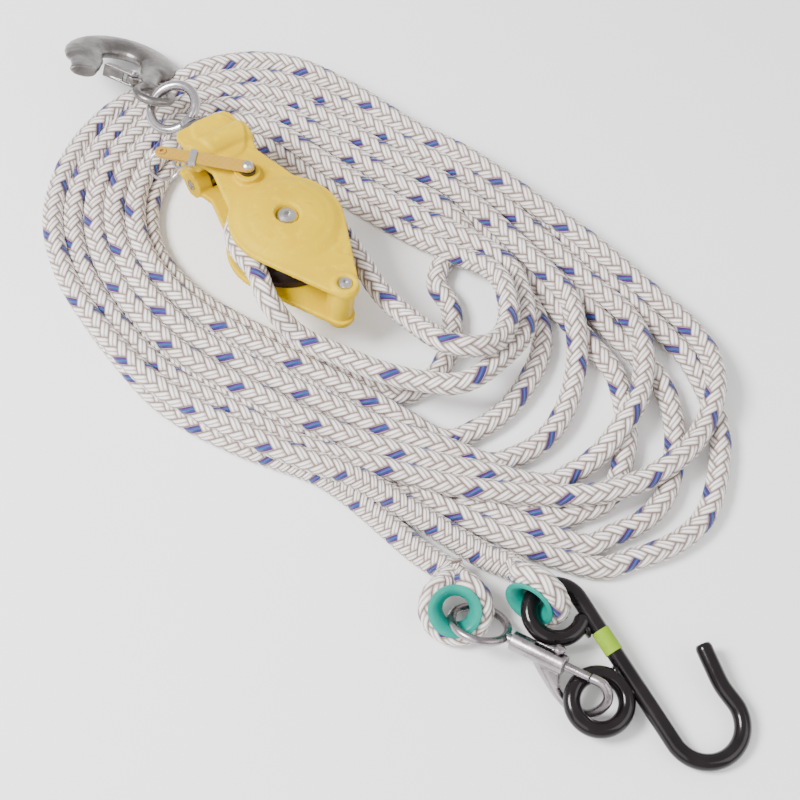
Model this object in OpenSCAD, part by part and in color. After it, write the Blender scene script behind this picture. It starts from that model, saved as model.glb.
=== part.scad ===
// Lineman's hand line set: a side-opening hand line block with a latched load
// hook, a coiled braided rope reeved over its sheave, and a bolt snap and a
// bent-rod hand hook on the two thimbles of the rope.
// Millimetres, +Z up. +X runs from the load hook towards the hand hook.

/* [Placement] */
// Shift of the whole set along X, which centres the hardware on the origin
shift_x = 23.9; // [20:0.1:28]
// Shift of the whole set along Y, which centres the hardware on the origin
shift_y = 14.9; // [12:0.1:18]
// Sheave centre along X before the shift
block_x = -112; // [-130:1:-100]
// Sheave centre along Y before the shift
block_y = -4; // [-6:1:6]
// Height of the sheave's middle plane, block resting on two layers of rope
block_z = 45.5; // [45:0.5:48]
// Turn of the block about its length, as it leans on the coil
block_roll = -9; // [-10:1:0]
// Turn of the block about the vertical
block_yaw = 1.5; // [0:0.5:3]

/* [Rope] */
// Rope diameter
rope_d = 13; // [12:0.5:14]
// Height of the coil, two layers of rope
coil_h = 26; // [24:0.5:26]

/* [Block] */
// Pitch radius of the rope on the sheave
pitch_r = 30.3; // [30.3:0.1:31]
// Sheave flange radius
flange_r = 31.5; // [31:0.5:33]
// Half width of the sheave
sheave_half = 10.8; // [10:0.1:11]
// Axle radius
axle_r = 4.76; // [4:0.01:5]
// Inner face of each cheek from the middle plane
cheek_in = 11.5; // [11.5:0.1:12]
// Thickness of a cheek's flange
cheek_t = 4; // [3:0.5:5]
// Half width of the cheeks at the sheave
belly_r = 35; // [34:0.5:38]
// Tip bolt's distance from the axle
tip_u = 58; // [54:1:62]
// Head pins' distance from the axle
head_u = 71; // [68:1:74]
// Head pins' height from the middle plane
head_w = 12; // [12:0.5:12.5]
// Radius of the barrel round a head pin
barrel_r = 9; // [8.5:0.5:9.5]
// Half width of the head
head_half = 20; // [18:0.5:22]
// Radius of the quick-release pin and of the fixed head pin
pin_r = 3.17; // [3:0.01:3.5]

/* [Swivel and load hook] */
// Radius of the swivel eye's centreline
eye_r = 15.3; // [15:0.1:17]
// Radius of the swivel eye's bar
eye_bar = 3.15; // [2.8:0.05:3.2]
// Roll of the swivel eye at rest
eye_roll = 30; // [20:1:32]
// Centreline radius of the load hook's own eye
hook_eye_r = 10.9; // [10.5:0.1:12]
// Bar radius of the load hook's own eye
hook_eye_bar = 2.9; // [2.5:0.1:3]
// Mean radius of the load hook's bowl
bowl_r = 24; // [22:0.5:24]

/* [Hand hook] */
// Radius of the hand hook's round bar
bar_r = 4.75; // [4.5:0.05:4.8]
// Length of the straight shank
shank_len = 109; // [106:1:112]
// Radius of the hand hook's bend, on the bar's centre
bend_r = 20.5; // [20:0.5:21]
// Radius of the upper loop, on the bar's centre
loop_r = 15; // [15:0.5:17]
// Radius of the lower ring, on the bar's centre
ring_r = 15; // [14.5:0.5:15.5]
// Slope of the hand hook, whose bend rests on the floor
hook_slope = 7.3; // [7:0.1:7.5]

/* [Thimbles and snap] */
// Thimble flange radius
thimble_r = 15; // [14:0.5:16]
// Thimble waist radius inside
waist_r = 7.4; // [7.2:0.1:7.5]
// Centreline radius of the snap's swivel eye
snap_eye_r = 16; // [15:0.5:16]
// Bar radius of the snap's swivel eye
snap_eye_bar = 2.4; // [2:0.1:2.6]
// Snap barrel radius
snap_r = 5.5; // [5:0.5:6]

/* [Hidden] */
$fn = 48;
run_gap = 0.05;
rope_r = rope_d / 2;
groove_r = pitch_r - rope_r - 0.3;
bush_r = 8;
axle_head_r = 6.4;
tip_head_r = 4.4;
plate_top = cheek_in + cheek_t;
dome_top = plate_top + 4.5;
tip_seat = cheek_in + 4.2;
strap_w = cheek_in + 11;
strap_t = 2;
rivet_at = [-40, -1];
strap_end = [-76, -38];
pin_hole = [-head_u, -28.4, head_w];
ring_wire = 0.9;
ball_y = 21.6;
release_ring_r = 9.2;
eye_u = -122;
link_turn = 15;

// ---- helpers ----

// Puts the children's z axis along direction d
module aim(d) rotate([0, acos(d[2] / norm(d)), atan2(d[1], d[0])]) children();

// Round bar from a to b
module bar(a, b, r) translate(a) aim(b - a) cylinder(h = norm(b - a), r = r);

// Ring of round bar, its axis along z
module ring(r, bar) rotate_extrude() translate([r, 0]) circle(bar);

function unit(v) = v / norm(v);
// Ring of points round p, across direction t, with half-axes a (sideways) and b (along up)
function section(p, t, up, a, b, n) =
  let (s = unit(cross(t, up)), w = cross(s, unit(t)))
  [for (i = [0:n - 1]) p + a * cos(360 * i / n) * s + b * sin(360 * i / n) * w];
function heading(path, i) =
  path[min(i + 1, len(path) - 1)] - path[max(i - 1, 0)];
// Closed tube through a path; half-axes are given for each point
module tube(path, a, b, up = [0, 0, 1], n = 10) {
  rings = [for (i = [0:len(path) - 1]) each section(path[i], heading(path, i), up, a[i], b[i], n)];
  m = len(path);
  sides = [for (k = [0:m - 2], i = [0:n - 1]) let (j = (i + 1) % n)
    each [[k * n + i, k * n + j, (k + 1) * n + j], [k * n + i, (k + 1) * n + j, (k + 1) * n + i]]];
  ends = [[for (i = [n - 1:-1:0]) i], [for (i = [0:n - 1]) (m - 1) * n + i]];
  polyhedron(points = rings, faces = concat(sides, ends));
}
function fill(path, v) = [for (p = path) v];
// Smooth curve through hand-chosen points, k steps in each stretch
function spline(p, k) = [for (i = [0:len(p) - 2], j = [0:k - 1])
    let (t = j / k, a = p[max(i - 1, 0)], b = p[i], c = p[i + 1], d = p[min(i + 2, len(p) - 1)])
    0.5 * (2 * b + (c - a) * t + (2 * a - 5 * b + 4 * c - d) * t * t
      + (3 * b - a - 3 * c + d) * t * t * t),
  p[len(p) - 1]];

module place() translate([shift_x, shift_y, 0]) children();
block_at = [block_x, block_y, block_z];
module block() place() translate(block_at) rotate([block_roll, 0, block_yaw]) children();
function roll(p, a) = [p[0], p[1] * cos(a) - p[2] * sin(a), p[1] * sin(a) + p[2] * cos(a)];
function yaw(p, a) = [p[0] * cos(a) - p[1] * sin(a), p[0] * sin(a) + p[1] * cos(a), p[2]];
// Place of a point given in the block's own frame
function in_block(p) = block_at + yaw(roll(p, block_roll), block_yaw);

// ---- block ----

// Outline of a cheek, head towards -x
module cheek_outline() {
  hull() {
    circle(belly_r, $fn = 96);
    translate([tip_u + 1, 0]) circle(8);
  }
  hull() {
    translate([-10, 0]) circle(27);
    translate([-52, 0]) circle(16.5);
  }
  hull() {
    translate([-56, 0]) square([4, 33], center = true);
    translate([-86, -head_half + 6]) circle(6);
    translate([-86, head_half - 6]) circle(6);
    translate([-66, -head_half + 2]) circle(2);
    translate([-66, head_half - 2]) circle(2);
  }
}

// One cheek with its dome, tip boss and head barrel, bored for its head pin
module cheek(pin_bore) {
  difference() {
    union() {
      translate([0, 0, cheek_in]) linear_extrude(cheek_t) cheek_outline();
      rotate_extrude($fn = 96) polygon([[0, cheek_in], [33, cheek_in], [33, plate_top],
        [28, plate_top + 2.4], [22, dome_top - 0.7], [15, dome_top], [0, dome_top]]);
      translate([tip_u, 0, cheek_in]) cylinder(h = 6, r = 8);
      translate([-head_u, -head_half, head_w]) rotate([-90, 0, 0])
        cylinder(h = 2 * head_half, r = barrel_r);
      translate([rivet_at[0], rivet_at[1], cheek_in]) cylinder(h = 8.5, r = 8);
    }
    // recesses and bores for the axle and the tip bolt
    translate([0, 0, dome_top - 3]) cylinder(h = 4, r = axle_head_r + 0.8);
    cylinder(h = 40, r = axle_r);
    translate([tip_u, 0, tip_seat]) cylinder(h = 4, r = tip_head_r + 0.5);
    translate([tip_u, 0, 0]) cylinder(h = 40, r = 3);
    // pocket for the yoke and bore for the head pin
    translate([-100, -9.8, -1]) cube([38, 19.6, head_w + 1]);
    translate([-head_u, -9.8, head_w]) rotate([-90, 0, 0]) cylinder(h = 19.6, r = 7.4);
    translate([-head_u, -30, head_w]) rotate([-90, 0, 0]) cylinder(h = 60, r = pin_bore);
  }
}

module front_cheek() color("gold") block() difference() {
  cheek(pin_r + run_gap);
  translate([rivet_at[0], rivet_at[1], 0]) cylinder(h = 30, r = 2);
}

module rear_cheek() color("goldenrod") block() mirror([0, 0, 1]) cheek(pin_r);

module tip_spacer() color("goldenrod") block() difference() {
  translate([0, 0, -cheek_in]) linear_extrude(2 * cheek_in) hull() {
    translate([tip_u, 0]) circle(7);
    translate([tip_u - 8, 0]) circle(4);
  }
  translate([tip_u, 0, -20]) cylinder(h = 40, r = 3);
}

module sheave() color([0.12, 0.09, 0.08]) block() rotate_extrude($fn = 96) difference() {
  translate([bush_r, -sheave_half]) square([flange_r - bush_r, 2 * sheave_half]);
  translate([pitch_r, 0]) circle(pitch_r - groove_r);
  translate([pitch_r, groove_r - pitch_r]) square([10, 2 * (pitch_r - groove_r)]);
}

module sheave_bush() color("peru") block() difference() {
  translate([0, 0, -sheave_half - 0.3]) cylinder(h = 2 * sheave_half + 0.6, r = bush_r);
  translate([0, 0, -20]) cylinder(h = 40, r = axle_r + run_gap);
}

module axle_bolt() color("silver") block() {
  translate([0, 0, -dome_top + 1]) cylinder(h = 2 * dome_top - 4, r = axle_r);
  translate([0, 0, dome_top - 3]) difference() {
    rotate_extrude()
      polygon([[0, 0], [axle_head_r, 0], [axle_head_r, 1.2], [5.4, 2.5], [3.6, 3.2], [0, 3.2]]);
    translate([0, 0, 1.4]) cylinder(h = 3, r = 2.2, $fn = 6);
  }
}

module axle_nut() color("silver") block() difference() {
  translate([0, 0, -dome_top + 0.6]) cylinder(h = 2.4, r = axle_head_r, $fn = 6);
  translate([0, 0, -30]) cylinder(h = 60, r = axle_r);
}

module tip_bolt() color("silver") block() translate([tip_u, 0, 0]) {
  translate([0, 0, -tip_seat - 3]) cylinder(h = 2 * tip_seat + 3.2, r = 3);
  translate([0, 0, tip_seat]) difference() {
    rotate_extrude() polygon([[0, 0], [tip_head_r, 0], [tip_head_r, 0.8], [3.6, 2], [2.4, 2.5], [0, 2.5]]);
    translate([0, 0, 1]) cylinder(h = 3, r = 1.5, $fn = 6);
  }
}

module tip_nut() color("silver") block() translate([tip_u, 0, 0]) difference() {
  translate([0, 0, -tip_seat - 2.4]) cylinder(h = 2.4, r = tip_head_r, $fn = 6);
  translate([0, 0, -30]) cylinder(h = 60, r = 3);
}

// ---- head: yoke, pins, swivel ----

module yoke() color("dimgray") block() difference() {
  union() {
    for (w = [-head_w, head_w]) translate([-head_u, -9.4, w]) rotate([-90, 0, 0]) cylinder(h = 18.8, r = 7);
    translate([-head_u - 3, -9.4, -head_w]) cube([10, 18.8, 2 * head_w]);
    translate([-99, -9.4, -9]) cube([28, 18.8, 18]);
  }
  for (w = [-1, 1]) translate([-head_u, -20, w * head_w]) rotate([-90, 0, 0])
    cylinder(h = 40, r = pin_r + (w > 0 ? run_gap : 0));
  translate([-110, 0, 0]) rotate([0, 90, 0]) cylinder(h = 40, r = 5 + run_gap);
  translate([-84, -10, -6.4]) cube([30, 20, 12.8]);
}

module head_pin() color("silver") block()
  translate([-head_u, -head_half - 0.6, -head_w]) rotate([-90, 0, 0])
  cylinder(h = 2 * head_half + 1.2, r = pin_r);

module swivel_eye() color("silver") block() rotate([eye_roll, 0, 0]) {
  translate([eye_u, 0, 0]) ring(eye_r, eye_bar);
  translate([eye_u + eye_r - 1, 0, 0]) rotate([0, 90, 0]) cylinder(h = 6.6, r1 = 4.6, r2 = 7.4);
  translate([eye_u + eye_r + 1, 0, 0]) rotate([0, 90, 0]) cylinder(h = 23, r = 5);
}

module swivel_nut() color("silver") block() difference() {
  translate([-83.6, 0, 0]) rotate([0, 90, 0]) cylinder(h = 3.6, r = 6.2);
  translate([-100, 0, 0]) rotate([0, 90, 0]) cylinder(h = 40, r = 5);
}

module release_pin() color("silver") block() difference() {
  union() {
    translate([-head_u, -24, head_w]) rotate([-90, 0, 0]) cylinder(h = 48, r = pin_r);
    translate([-head_u, -24, head_w]) rotate([-90, 0, 0]) cylinder(h = 3.4, r = 4.6);
    translate([-head_u - 3.5, -32, head_w - 1]) cube([7, 9, 2]);
  }
  translate([pin_hole[0], pin_hole[1], head_w - 5]) cylinder(h = 10, r = 2.7);
  translate([-head_u, ball_y, head_w + 0.8]) cylinder(h = 6, r = 1.2);
}

module release_ball() color("silver") block() translate([-head_u, ball_y, head_w + 2.04]) sphere(1.15);

// The split ring leans up towards the strap's end
module pin_ring() color("silver") block() translate(pin_hole)
  rotate([0, 0, atan2(strap_end[1] - pin_hole[1], strap_end[0] - pin_hole[0])])
  rotate([-60, 0, 0]) translate([release_ring_r, 0, 0]) ring(release_ring_r, ring_wire);

// ---- lanyard ----

module strap_frame() block() translate([rivet_at[0], rivet_at[1], strap_w])
  rotate([0, 0, atan2(strap_end[1] - rivet_at[1], strap_end[0] - rivet_at[0])]) children();
strap_len = norm(strap_end - rivet_at);

module lanyard_strap() color("orange") strap_frame() difference() {
  linear_extrude(strap_t) hull() {
    circle(4.2);
    translate([strap_len, 0]) circle(4.2);
  }
  translate([0, 0, -5]) cylinder(h = 10, r = 2.1);
  translate([strap_len, 0, -5]) cylinder(h = 10, r = 2.4);
}

module lanyard_crimp() color("silver") strap_frame() difference() {
  translate([0.6 * strap_len, -5.2, -0.8]) cube([4, 10.4, strap_t + 1.6]);
  translate([0.6 * strap_len - 1, -4.2, 0]) cube([6, 8.4, strap_t]);
}

module lanyard_eyelet() color("khaki") strap_frame() translate([strap_len, 0, 0]) difference() {
  cylinder(h = strap_t + 0.6, r = 2.4);
  translate([0, 0, -1]) cylinder(h = 6, r = 1.5);
}

module lanyard_washer() color([0.2, 0.18, 0.2]) block()
  translate([rivet_at[0], rivet_at[1], cheek_in + 8.6]) difference() {
  cylinder(h = 2.2, r = 5);
  translate([0, 0, -1]) cylinder(h = 6, r = 2);
}

module lanyard_rivet() color("silver") block() translate([rivet_at[0], rivet_at[1], cheek_in]) {
  cylinder(h = 15, r = 2);
  translate([0, 0, strap_w + strap_t + 0.1 - cheek_in])
    rotate_extrude() polygon([[0, 0], [3.5, 0], [3.1, 1.1], [2, 1.9], [0, 2.2]]);
}

// ---- load hook ----

link_at = [eye_u - eye_r * cos(link_turn), -eye_r * sin(link_turn) * cos(eye_roll),
  -eye_r * sin(link_turn) * sin(eye_roll)];
// Frame of the load hook: x along the hook from its eye, y towards its tip, z its upper face
module hook_frame() block() translate(link_at) rotate([20, 18, 170]) translate([3, 0, 0]) children();
bowl_at = [50, 3];
function bowl(a) = [bowl_at[0] + bowl_r * cos(a), bowl_at[1] + bowl_r * sin(a), 0];
bowl_path = concat([[10, 0, 0], [20, -5, 0]], [for (a = [-145:12:95]) bowl(a)],
  [[39, 29.5, 0], [32, 33, 0]]);
bowl_end = len(bowl_path) - 1;
bowl_half = [for (i = [0:bowl_end]) min(5.2 + 0.8 * i, 9, 6.4 + 0.9 * (bowl_end - i))];
bowl_thick = [for (i = [0:bowl_end]) 4.2 + 2.8 * sin(180 * i / bowl_end)];
latch_at = [23, 5.5, 0];
latch_turn = 43;
latch_len = 20;

module load_hook() color("gray") hook_frame() difference() {
  union() {
    ring(hook_eye_r, hook_eye_bar);
    tube(bowl_path, bowl_half, bowl_thick, n = 16);
    translate([latch_at[0] - 4, -4, -2.4]) cube([8, latch_at[1] + 4, 4.8]);
    translate([latch_at[0], latch_at[1], -2.4]) cylinder(h = 4.8, r = 4);
  }
  translate([latch_at[0], latch_at[1], -10]) cylinder(h = 20, r = 1.5);
  cylinder(h = 20, r = hook_eye_r - hook_eye_bar, center = true);
}

module latch_frame() hook_frame() translate(latch_at) rotate([0, 0, latch_turn]) children();

module hook_latch() color("slategray") latch_frame() difference() {
  union() {
    for (w = [-1, 1]) translate([0, 0, w * 3.6 - 0.7]) linear_extrude(1.4) hull() {
      circle(3.6);
      translate([latch_len - 3, 0]) circle(2.2);
    }
    translate([6, 0.8, -4.3]) cube([latch_len - 6, 1.4, 8.6]);
  }
  translate([0, 0, -10]) cylinder(h = 20, r = 1.5 + run_gap);
}

module latch_pin() color("silver") hook_frame()
  translate([latch_at[0], latch_at[1], -5.6]) cylinder(h = 11.2, r = 1.5);

module latch_spring() color("silver") hook_frame()
  translate([latch_at[0], latch_at[1], -2.9]) difference() {
  cylinder(h = 0.4, r = 2.6);
  translate([0, 0, -1]) cylinder(h = 3, r = 1.7);
}

// ---- hand hook ----

hand_at = [149, 2.4, 21.2];
module hand_frame() place() translate(hand_at) rotate([0, 0, -4.4]) rotate([0, hook_slope, 0]) children();

// Bent rod: upper loop from its free end, straight shank, bend, free arm and point
loop_arc = [for (a = [381:-12:93]) [17 + loop_r * cos(a), -loop_r + loop_r * sin(a), 0]];
bend_arc = [for (a = [-90:10:90]) [shank_len + bend_r * cos(a), bend_r + bend_r * sin(a), 0]];
tip_arm = [[shank_len - 12, 2 * bend_r + 0.6, 0], [shank_len - 24, 2 * bend_r + 1.6, 0],
  [shank_len - 35, 2 * bend_r + 1, 0]];
rod_path = concat(loop_arc, [[17, 0, 0]], bend_arc, tip_arm);

module hand_hook_rod() color([0.13, 0.1, 0.11]) hand_frame()
  tube(rod_path, fill(rod_path, bar_r), fill(rod_path, bar_r), n = 12);

ring_at = [70, -ring_r - 7.2, 0];
module hand_hook_ring() color([0.13, 0.1, 0.11]) hand_frame() difference() {
  translate(ring_at) ring(ring_r, bar_r);
  // coped to the shank
  translate([30, 0, 0]) rotate([0, 90, 0]) cylinder(h = 60, r = bar_r);
}

// Weld beads between the ring and the shank, and between the loop's end and the shank
module hand_hook_welds() color([0.16, 0.13, 0.13]) hand_frame() {
  for (w = [-3.4, 3.4]) translate([ring_at[0] + 2, -4.6, w]) sphere(2.6);
  for (w = [-2.8, 2.8]) translate([31.5, -5.2, w]) sphere(2.9);
}

module hand_hook_band() color("yellowgreen") hand_frame() difference() {
  translate([38, 0, 0]) rotate([0, 90, 0]) cylinder(h = 14, r = bar_r + 0.35);
  translate([30, 0, 0]) rotate([0, 90, 0]) cylinder(h = 30, r = bar_r);
}

// ---- thimbles, splices and snap ----

snap_thimble = [129.9, -56.3, 15.3];
snap_axis = [0.372, -0.406, 0.835];
hook_thimble = [151.3, -17.8, 21.8];
hook_axis = [0.31, -0.92, 0.24];
// Radius of a rope eye's centreline round its thimble
eye_path_r = 8.6 + rope_r + 0.2;

// Flared spool; its own axis is z
module thimble() difference() {
  cylinder(h = 16, r = thimble_r, center = true);
  rotate_extrude() difference() {
    translate([0, -9.5]) square([waist_r + 9, 19]);
    translate([waist_r + 9, 0]) circle(9);
  }
  rotate_extrude() translate([eye_path_r, 0]) circle(rope_r + 0.2);
  rotate_extrude() translate([eye_path_r, -rope_r - 0.2]) square([20, 2 * rope_r + 0.4]);
}

module thimble_snap() color("turquoise") place() translate(snap_thimble) aim(snap_axis) thimble();
module thimble_hook() color("turquoise") place() translate(hook_thimble) aim(hook_axis) thimble();

// Frame of the snap: x from its swivel end to its gate, -y towards its bow
snap_at = [160.6, -43.4, 15.9];
snap_yaw = 23.6;
snap_pitch = 8.2;
snap_roll = 52;
snap_eye_roll = -36;
barrel_len = 34.5;
gate_reach = 49.5;
module snap_axis_frame() place() translate(snap_at) rotate([0, -snap_pitch, snap_yaw]) children();
module snap_frame() snap_axis_frame() rotate([snap_roll, 0, 0]) children();

module snap_eye() color("silver") snap_axis_frame() {
  translate([-1.6, 0, 0]) rotate([0, 90, 0]) cylinder(h = 7, r = 2.8);
  rotate([snap_eye_roll, 0, 0]) translate([-snap_eye_r - 2, 0, 0]) ring(snap_eye_r, snap_eye_bar);
}

bow_path = spline([[19, -2, 0], [24, -8, 0], [34, -17, 0], [43, -22, 0], [53.5, -22, 0], [60.5, -14, 0],
  [62, -6, 0], [57.5, 0, 0], [gate_reach + 0.4, 0, 0]], 3);
bow_end = len(bow_path) - 1;

module snap_body() color("silver") snap_frame() difference() {
  union() {
    translate([2.2, 0, 0]) rotate([0, 90, 0]) cylinder(h = barrel_len - 2.2, r = snap_r);
    tube(bow_path, [for (i = [0:bow_end]) max(2.8, 5 - 0.3 * i)], fill(bow_path, 2.8), n = 12);
    translate([0, 0, -1.9]) linear_extrude(3.8) polygon([[17, 0], [31, 0], [33, -7], [36, -18], [26, -9]]);
  }
  rotate([0, 90, 0]) cylinder(h = 6, r = 2.8 + run_gap);
  translate([9, 0, 0]) rotate([0, 90, 0]) cylinder(h = barrel_len, r = 2.4 + run_gap);
  translate([9, 0, 0]) rotate([0, 90, 0]) cylinder(h = 22, r = 3.6);
  translate([15, 1, -1.7]) cube([16.5, 8, 3.4]);
}

module snap_bolt() color("silver") snap_frame() {
  translate([26, 0, 0]) rotate([0, 90, 0]) cylinder(h = gate_reach - 26.2, r = 2.4);
  translate([25, 0, 0]) rotate([0, 90, 0]) cylinder(h = 3.4, r = 3.4);
  translate([29, 0, 0]) rotate([-90, 0, 0]) cylinder(h = 8, r = 1.5);
  translate([29, 6.6, 0]) rotate([-90, 0, 0]) rotate_extrude()
    polygon([[0, 0], [2.8, 0], [3.4, 1], [3.4, 2], [2.4, 2.9], [0, 3.2]]);
}

module snap_spring() color("silver") snap_frame() difference() {
  translate([9.2, 0, 0]) rotate([0, 90, 0]) cylinder(h = 15.7, r = 3.4);
  translate([8, 0, 0]) rotate([0, 90, 0]) cylinder(h = 20, r = 2.7);
}

// ---- rope ----

// The coil lies in its own frame: x along its length, y across it
coil_at = [-27, 10];
coil_turn = 32.7;
module coil_frame() place() translate(coil_at) rotate([0, 0, coil_turn]) children();

module rope_coil() color("whitesmoke") difference() {
  coil_frame() linear_extrude(coil_h) difference() {
    hull() {
      translate([-176, 92]) circle(68);
      translate([-135, 112]) circle(74);
      translate([-168, 30]) circle(70);
      translate([-86, -24]) circle(68);
      translate([60, -50]) circle(66);
      translate([146, -20]) circle(72);
      translate([128, 18]) circle(75);
      translate([-10, 84]) circle(70);
    }
    hull() {
      translate([-146, 44]) circle(38);
      translate([-140, 84]) circle(40);
      translate([-60, 40]) circle(44);
      translate([8, 24]) circle(26);
    }
  }
  // the coil leaves room for the load hook, and is one layer high beside it
  place() translate([-330, -75, rope_d + 1]) cube([88, 150, 20]);
  place() translate([-330, -48, -1]) cube([65, 96, 40]);
}

// Route from the coil up one side of the sheave, round it and down the other side
leg_out = [[28, 36, 33], [22, 18, 33], [-4, -6, 33], [-30, -21, 33], [-56, -34, 34],
  in_block([34, -36, -2]), in_block([14, -pitch_r, 0])];
leg_in = [in_block([14, pitch_r, 0]), in_block([34, 29, -3]), [-52, 23, 34], [-34, 24, 35], [-16, 26, 39],
  [4, 29, 46], [16, 40, 46], [18, 56, 38], [8, 74, 33]];
over_sheave = concat(leg_out,
  [for (a = [-90:-15:-270]) in_block([pitch_r * cos(a), pitch_r * sin(a), 0])], leg_in);
module rope_over_sheave() color("whitesmoke") place()
  tube(over_sheave, fill(over_sheave, rope_r), fill(over_sheave, rope_r));

// Rope eye round a thimble and its spliced throat, a tapering tube through the route's points
module splice(at, axis, route) color("whitesmoke") place() {
  translate(at) aim(axis) ring(eye_path_r, rope_r);
  tube(route, [for (i = [0:len(route) - 1]) rope_r + 2 - 2 * i / len(route)],
    [for (i = [0:len(route) - 1]) rope_r - 0.2], n = 12);
}
tail_snap = [[112, -46, 11], [98, -48, 8], [84, -52, 7]];
tail_hook = [[134, -14, 15], [118, -20, 9], [100, -27, 7]];
module rope_splice_snap() splice(snap_thimble, snap_axis, tail_snap);
module rope_splice_hook() splice(hook_thimble, hook_axis, tail_hook);

rear_cheek();
front_cheek();
sheave();
sheave_bush();
axle_bolt();
axle_nut();
tip_bolt();
tip_nut();
tip_spacer();
yoke();
head_pin();
swivel_eye();
swivel_nut();
release_pin();
release_ball();
pin_ring();
lanyard_strap();
lanyard_crimp();
lanyard_eyelet();
lanyard_washer();
lanyard_rivet();
load_hook();
hook_latch();
latch_pin();
latch_spring();
hand_hook_rod();
hand_hook_ring();
hand_hook_welds();
hand_hook_band();
thimble_snap();
thimble_hook();
snap_eye();
snap_body();
snap_bolt();
snap_spring();
rope_coil();
rope_over_sheave();
rope_splice_snap();
rope_splice_hook();
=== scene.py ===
import math

import bpy
import numpy as np
from mathutils import Euler, Matrix, Vector
from mathutils.bvhtree import BVHTree


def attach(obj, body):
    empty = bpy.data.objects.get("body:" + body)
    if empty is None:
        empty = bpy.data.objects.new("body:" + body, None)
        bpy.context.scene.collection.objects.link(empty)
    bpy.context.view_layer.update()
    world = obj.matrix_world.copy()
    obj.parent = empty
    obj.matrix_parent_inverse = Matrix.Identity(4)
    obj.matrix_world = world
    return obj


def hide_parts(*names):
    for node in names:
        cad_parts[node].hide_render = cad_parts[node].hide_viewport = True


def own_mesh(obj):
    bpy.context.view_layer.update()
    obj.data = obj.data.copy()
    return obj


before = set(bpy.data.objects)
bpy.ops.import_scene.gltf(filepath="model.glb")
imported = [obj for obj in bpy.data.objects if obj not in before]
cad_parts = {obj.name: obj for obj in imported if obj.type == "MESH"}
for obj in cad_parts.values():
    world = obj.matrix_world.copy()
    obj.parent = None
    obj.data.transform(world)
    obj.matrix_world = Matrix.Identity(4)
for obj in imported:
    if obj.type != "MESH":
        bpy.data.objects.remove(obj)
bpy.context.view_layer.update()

# The same placement as in the CAD source, in metres and degrees
MM = 0.001
SHIFT = np.array([0.0239, 0.0149, 0.0])
BLOCK_AT = np.array([-0.112, -0.004, 0.0455])
BLOCK_ROLL = -9.0
BLOCK_YAW = 1.5
COIL_AT = np.array([-0.027, 0.010])
COIL_TURN = math.radians(32.7)
HAND_AT = np.array([0.149, 0.0024, 0.0212])

ROPE_D = 0.013
ROPE_R = ROPE_D / 2
PITCH_R = 0.0303
BRAID_PITCH = 0.052
SPLICE_PITCH = 0.030
ROPE_SIDES = 24
RING_STEP = 0.0014
POINT_STEP = 0.0065
ROD_R = 0.00475
ROD_STEP = 0.0012


# ---- places ----


def turned(p, degrees, axis):
    return np.array(Matrix.Rotation(math.radians(degrees), 3, axis) @ Vector(p))


def placed(points):
    """Points of the set before its shift, in the row frame."""
    return [np.array(p, float) + SHIFT for p in points]


def in_block(p):
    """A point given in the block's own frame, before the shift."""
    return BLOCK_AT + turned(turned(p, BLOCK_ROLL, "X"), BLOCK_YAW, "Z")


def in_coil(s, t, z):
    """A point given in the coil's own frame, before the shift."""
    c, n = math.cos(COIL_TURN), math.sin(COIL_TURN)
    return np.array([COIL_AT[0] + s * c - t * n, COIL_AT[1] + s * n + t * c, z])


BLOCK_FRAME = (
    Matrix.Translation(Vector(BLOCK_AT + SHIFT))
    @ Matrix.Rotation(math.radians(BLOCK_YAW), 4, "Z")
    @ Matrix.Rotation(math.radians(BLOCK_ROLL), 4, "X")
)
HAND_FRAME = (
    Matrix.Translation(Vector(HAND_AT + SHIFT))
    @ Matrix.Rotation(math.radians(-4.4), 4, "Z")
    @ Matrix.Rotation(math.radians(7.3), 4, "Y")
)


SNAP_FRAME = (
    Matrix.Translation(Vector((0.1606, -0.0434, 0.0159)) + Vector(SHIFT))
    @ Matrix.Rotation(math.radians(23.6), 4, "Z")
    @ Matrix.Rotation(math.radians(-8.2), 4, "Y")
    @ Matrix.Rotation(math.radians(52.0), 4, "X")
)
LINK_TURN, EYE_ROLL = math.radians(15), math.radians(30)
LINK_AT = (
    -0.122 - 0.0153 * math.cos(LINK_TURN),
    -0.0153 * math.sin(LINK_TURN) * math.cos(EYE_ROLL),
    -0.0153 * math.sin(LINK_TURN) * math.sin(EYE_ROLL),
)
HOOK_FRAME = (
    BLOCK_FRAME
    @ Matrix.Translation(LINK_AT)
    @ Euler((math.radians(20), math.radians(18), math.radians(170))).to_matrix().to_4x4()
    @ Matrix.Translation((0.003, 0, 0))
)


# ---- curves ----


def spline(points, step):
    """Smooth curve through points, with a point about every step."""
    p = [np.array(q, float) for q in points]
    out = []
    for i in range(len(p) - 1):
        a, b, c, d = p[max(i - 1, 0)], p[i], p[i + 1], p[min(i + 2, len(p) - 1)]
        n = max(1, round(float(np.linalg.norm(c - b)) / step))
        for k in range(n):
            t = k / n
            out.append(
                0.5
                * (
                    2 * b
                    + (c - a) * t
                    + (2 * a - 5 * b + 4 * c - d) * t**2
                    + (3 * b - a - 3 * c + d) * t**3
                )
            )
    out.append(p[-1])
    return np.array(out)


def even(line, step):
    """The same line with its points spaced evenly."""
    along = np.concatenate([[0], np.cumsum(np.linalg.norm(np.diff(line, axis=0), axis=1))])
    n = max(2, round(along[-1] / step) + 1)
    at = np.linspace(0, along[-1], n)
    return np.stack([np.interp(at, along, line[:, k]) for k in range(3)], axis=1)


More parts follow.
